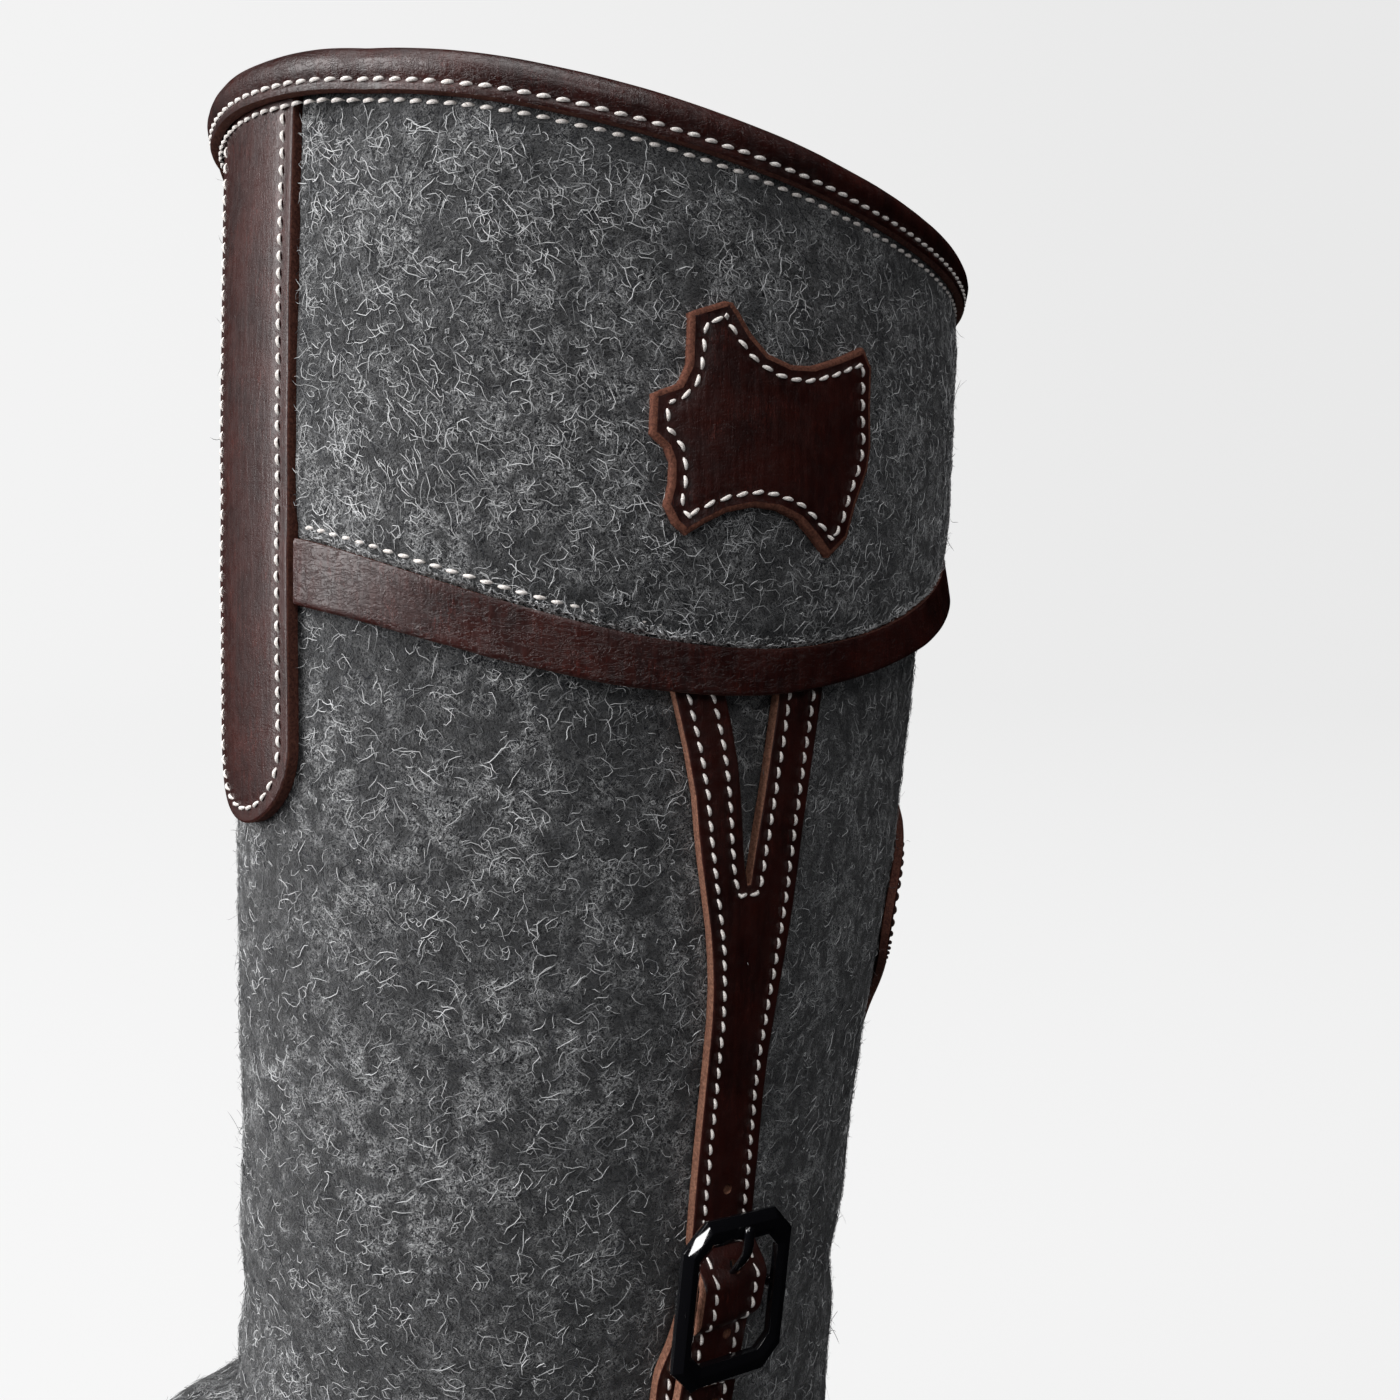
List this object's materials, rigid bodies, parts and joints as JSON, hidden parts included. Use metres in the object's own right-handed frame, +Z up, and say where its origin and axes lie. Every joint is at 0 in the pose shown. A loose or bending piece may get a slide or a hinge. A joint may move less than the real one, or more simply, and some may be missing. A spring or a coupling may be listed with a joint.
{
  "type": "felt boot",
  "caption": "Tall grey felt boot for the left foot with a felt cuff, brown leather trim, a buckled side strap and a lugged rubber sole.",
  "frame": {"origin": "centre of the bounding box in plan, on the floor that the sole stands on", "axes": "+Z up the shaft, -Y towards the toe, +X towards the outer side of the left foot, where the buckle is"},
  "size_m": [0.137, 0.3068, 0.3715],
  "materials": {
    "felt": "matt felted wool, heather grey with pale fibres",
    "leather": "smooth dark red-brown leather with a soft sheen and raw tan edges",
    "metal": "glossy black enamel over cast metal",
    "rubber": "matt black moulded rubber",
    "insole_felt": "pale grey pressed felt"
  },
  "bodies": {
    "root": {"upper": "felt", "cuff": "felt", "binding": "leather", "front_strip": "leather", "band": "leather", "y_strap": "leather", "lower_strap": "leather", "patch": "leather", "back_stay": "leather", "buckle_frame": "metal", "buckle_prong": "metal", "outsole": "rubber", "insole": "insole_felt"}
  },
  "joints": []
}
